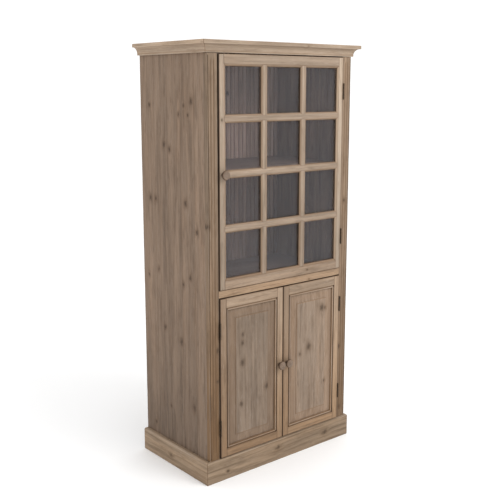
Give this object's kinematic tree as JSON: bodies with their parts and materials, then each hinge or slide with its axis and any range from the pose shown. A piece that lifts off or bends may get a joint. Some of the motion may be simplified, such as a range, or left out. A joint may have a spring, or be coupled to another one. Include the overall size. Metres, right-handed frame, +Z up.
{
  "type": "pantry cabinet",
  "caption": "Tall free-standing wooden pantry cabinet with a glazed grid door over a pair of raised-panel doors, on a plinth, with a crown moulding.",
  "frame": {"origin": "on the floor, under the middle of the object's bounding box, knobs included", "axes": "+Z up, the doors face -Y, +X to the right when facing the doors"},
  "size_m": [0.8566, 0.5066, 1.8],
  "materials": {
    "side_wood": "weathered matt, planks upright",
    "face_wood": "weathered matt",
    "door_wood": "weathered matt",
    "panel_wood": "weathered matt, knotty",
    "inner_wood": "matt",
    "knob_wood": "turned, satin",
    "glass": "clear, smooth",
    "dark_metal": "antique dark",
    "catch_plastic": "brown, matt"
  },
  "bodies": {
    "carcass": {"side_panel_left": "side_wood", "side_panel_right": "side_wood", "top_board": "inner_wood", "bottom_board": "inner_wood", "middle_deck": "inner_wood", "upper_shelf": "inner_wood", "lower_shelf": "inner_wood", "back_panel_upper": "inner_wood", "back_panel_lower": "inner_wood", "front_stile_left": "face_wood", "front_stile_right": "face_wood", "middle_rail": "face_wood", "top_rail": "inner_wood", "crown_front": "face_wood", "crown_left": "face_wood", "crown_right": "face_wood", "plinth_front": "face_wood", "plinth_left": "face_wood", "plinth_right": "face_wood", "glass_door_catch": "catch_plastic", "lower_doors_catch": "catch_plastic", "glass_door_lower_hinge_fixed_leaf": "dark_metal", "glass_door_upper_hinge_fixed_leaf": "dark_metal", "left_door_lower_hinge_fixed_leaf": "dark_metal", "left_door_upper_hinge_fixed_leaf": "dark_metal", "right_door_lower_hinge_fixed_leaf": "dark_metal", "right_door_upper_hinge_fixed_leaf": "dark_metal"},
    "glass_door": {"glass_door_stile_left": "door_wood", "glass_door_stile_right": "door_wood", "glass_door_rail_bottom": "door_wood", "glass_door_rail_top": "door_wood", "muntin_upright_1": "door_wood", "muntin_upright_2": "door_wood", "muntin_level_1": "door_wood", "muntin_level_2": "door_wood", "muntin_level_3": "door_wood", "glass_door_glass": "glass", "glazing_bead_left": "door_wood", "glazing_bead_right": "door_wood", "glazing_bead_bottom": "door_wood", "glazing_bead_top": "door_wood", "glass_door_knob": "knob_wood", "glass_door_lower_hinge_door_leaf": "dark_metal", "glass_door_upper_hinge_door_leaf": "dark_metal"},
    "left_door": {"left_door_stile_left": "door_wood", "left_door_stile_right": "door_wood", "left_door_rail_bottom": "door_wood", "left_door_rail_top": "door_wood", "left_door_panel": "panel_wood", "left_door_knob": "knob_wood", "left_door_lower_hinge_door_leaf": "dark_metal", "left_door_upper_hinge_door_leaf": "dark_metal"},
    "right_door": {"right_door_stile_left": "door_wood", "right_door_stile_right": "door_wood", "right_door_rail_bottom": "door_wood", "right_door_rail_top": "door_wood", "right_door_panel": "panel_wood", "right_door_knob": "knob_wood", "right_door_lower_hinge_door_leaf": "dark_metal", "right_door_upper_hinge_door_leaf": "dark_metal"}
  },
  "joints": [
    {"name": "glass_door_hinge", "type": "hinge", "parent": "carcass", "child": "glass_door", "pos_m": [0.3425, -0.22765, 1.28325], "axis": [0, 0, 1], "range_deg": [0, 170]},
    {"name": "left_door_hinge", "type": "hinge", "parent": "carcass", "child": "left_door", "pos_m": [-0.3425, -0.22765, 0.44225], "axis": [0, 0, -1], "range_deg": [0, 170]},
    {"name": "right_door_hinge", "type": "hinge", "parent": "carcass", "child": "right_door", "pos_m": [0.3425, -0.22765, 0.44225], "axis": [0, 0, 1], "range_deg": [0, 170]}
  ]
}
